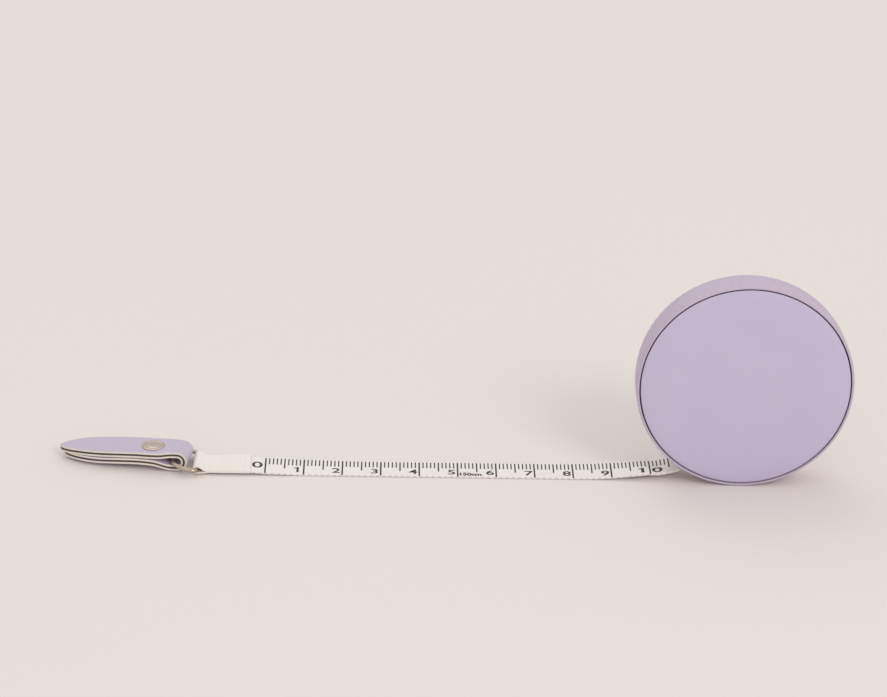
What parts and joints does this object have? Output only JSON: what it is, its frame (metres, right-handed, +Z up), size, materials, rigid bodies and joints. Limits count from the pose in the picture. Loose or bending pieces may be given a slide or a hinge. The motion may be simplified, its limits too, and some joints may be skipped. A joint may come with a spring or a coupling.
{
  "type": "cloth tape measure",
  "caption": "Round leather-covered pocket tape measure on its rim, white cloth tape drawn out flat to a D ring and a folded leather tab with a press stud.",
  "frame": {"origin": "on the surface the object lies on, under the middle of its whole length and depth", "axes": "+X along the drawn-out tape from the tab towards the case, +Y away from the front face, +Z up"},
  "size_m": [0.2042, 0.0162, 0.0556],
  "materials": {
    "shell_plastic": "moulded plastic, matt",
    "band_leather": "coated leather strip, greyed mauve, fine grain",
    "face_leather": "smooth lavender coated leather, soft sheen",
    "guide_plastic": "moulded plastic",
    "foam": "thin foam sheet",
    "steel": "bright steel",
    "tape_cloth": "coated woven tape, off-white, dark grey print",
    "brake_rubber": "black rubber",
    "nickel_wire": "warm nickel plating",
    "stud_brass": "pressed brass",
    "tab_board": "dark bonded leather board"
  },
  "bodies": {
    "case": {"rear_shell": "shell_plastic", "rim_band": "band_leather", "slot_guide": "guide_plastic", "rear_pad": "foam", "rear_leather": "face_leather", "arbor": "steel", "arbor_screw": "steel", "brake_pin": "steel", "brake_spring": "steel", "tape_lead": "tape_cloth", "return_spring_1": "steel", "return_spring_2": "steel", "return_spring_3": "steel"},
    "face_button": {"face_leather": "face_leather", "face_pad": "foam", "press_plate": "guide_plastic"},
    "brake": {"brake_lever": "guide_plastic", "brake_shoe": "brake_rubber"},
    "reel": {"reel_drum": "guide_plastic", "drum_cover": "steel", "power_spring": "steel", "tape_roll": "tape_cloth"},
    "tape": {"free_tape": "tape_cloth", "tape_end": "tape_cloth"},
    "ring": {"d_ring": "nickel_wire"},
    "tab": {"tab_leather": "face_leather", "tab_core": "tab_board", "tab_lining": "face_leather", "snap_stud": "stud_brass", "stud_rivet": "nickel_wire"},
    "tab_flap": {"flap_leather": "face_leather", "flap_core": "tab_board", "flap_lining": "face_leather", "snap_socket": "stud_brass", "snap_cap": "nickel_wire"}
  },
  "joints": [
    {"name": "button_press", "type": "slide", "parent": "case", "child": "face_button", "axis": [0, 1, 0], "range_m": [0, 0.0007], "stiffness_N_per_m": 2000, "springref_m": -0.0005, "deforming": ["return_spring_1", "return_spring_2", "return_spring_3"]},
    {"name": "brake_swing", "type": "hinge", "parent": "case", "child": "brake", "pos_m": [0.09473, 0, 0.03327], "axis": [0, 1, 0], "range_deg": [0, 3.05]},
    {"name": "tape_pull", "type": "slide", "parent": "case", "child": "tape", "axis": [-1, 0, 0], "range_m": [-0.104, 1.39], "deforming": ["free_tape"]},
    {"name": "reel_spin", "type": "hinge", "parent": "case", "child": "reel", "pos_m": [0.0743, 0, 0.0278], "axis": [0, 1, 0], "range_deg": [-350, 4660]},
    {"name": "ring_swing", "type": "hinge", "parent": "tape", "child": "ring", "pos_m": [-0.0661, -0.00035, 0.0014], "axis": [0, 1, 0], "range_deg": [0, 90]},
    {"name": "tab_tilt", "type": "hinge", "parent": "ring", "child": "tab", "pos_m": [-0.07309, -0.00035, 0.00265], "axis": [0.1478, 0.989, 0], "range_deg": [0, 10]},
    {"name": "flap_open", "type": "hinge", "parent": "tab", "child": "tab_flap", "pos_m": [-0.07045, 0.00015, 0.005], "axis": [0.1478, 0.989, 0], "range_deg": [0, 90]}
  ],
  "couplings": [
    {"joint": "brake_swing", "follows": "button_press", "rad_per_m": 75},
    {"joint": "reel_spin", "follows": "tape_pull", "rad_per_m": 58.48}
  ]
}
